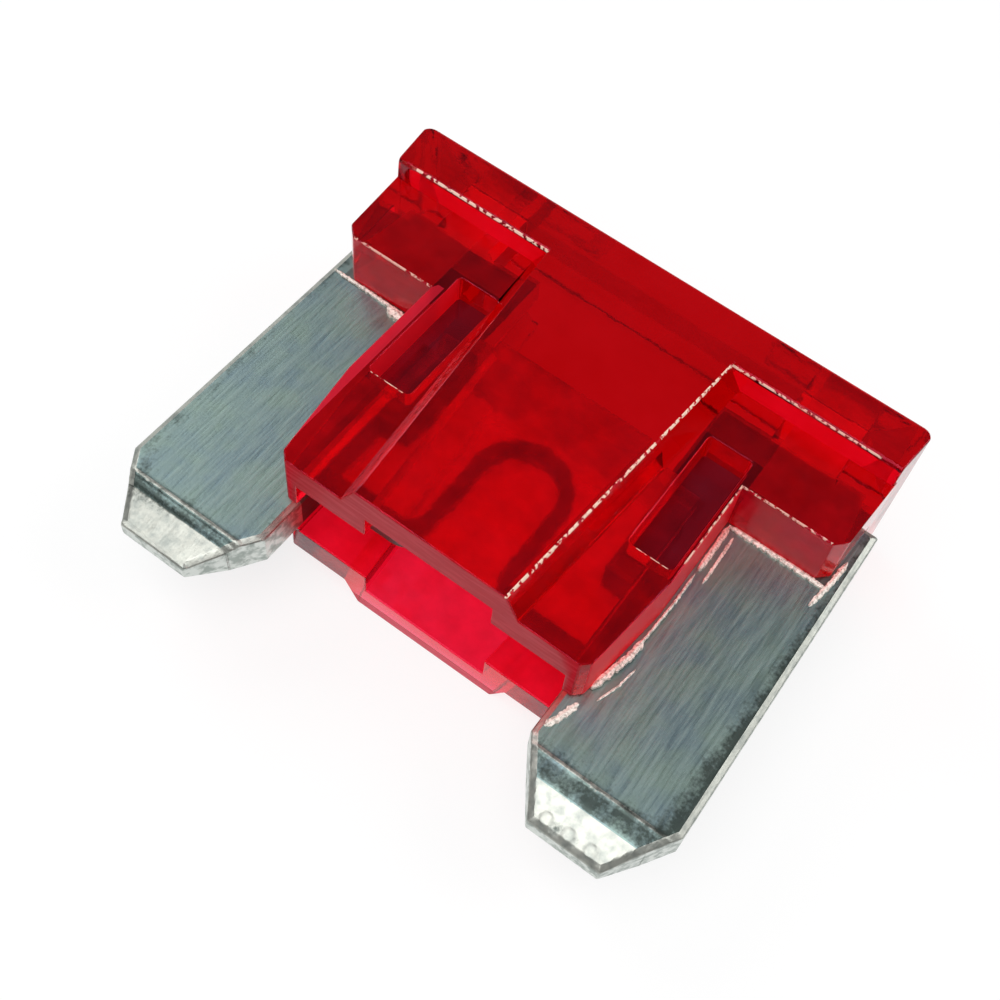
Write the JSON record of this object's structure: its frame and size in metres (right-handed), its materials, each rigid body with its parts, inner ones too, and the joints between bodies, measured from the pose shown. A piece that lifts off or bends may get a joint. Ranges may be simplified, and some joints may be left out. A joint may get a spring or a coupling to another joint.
{
  "type": "automotive blade fuse",
  "caption": "Low-profile mini blade fuse: translucent red housing over a stamped element with two coined blades and an arched fusible link.",
  "frame": {"origin": "middle of the back face's height and width, on the plane that the fuse lies on", "axes": "+X across the two blades, +Y from the blade tips to the head, +Z from the back face to the front face"},
  "size_m": [0.011, 0.0088, 0.0038],
  "materials": {
    "red_plastic": "translucent moulded, glossy with matte end faces",
    "zinc_sheet": "rolled zinc alloy, bright where coined"
  },
  "bodies": {
    "root": {"housing": "red_plastic", "fuse_element": "zinc_sheet"}
  },
  "joints": []
}
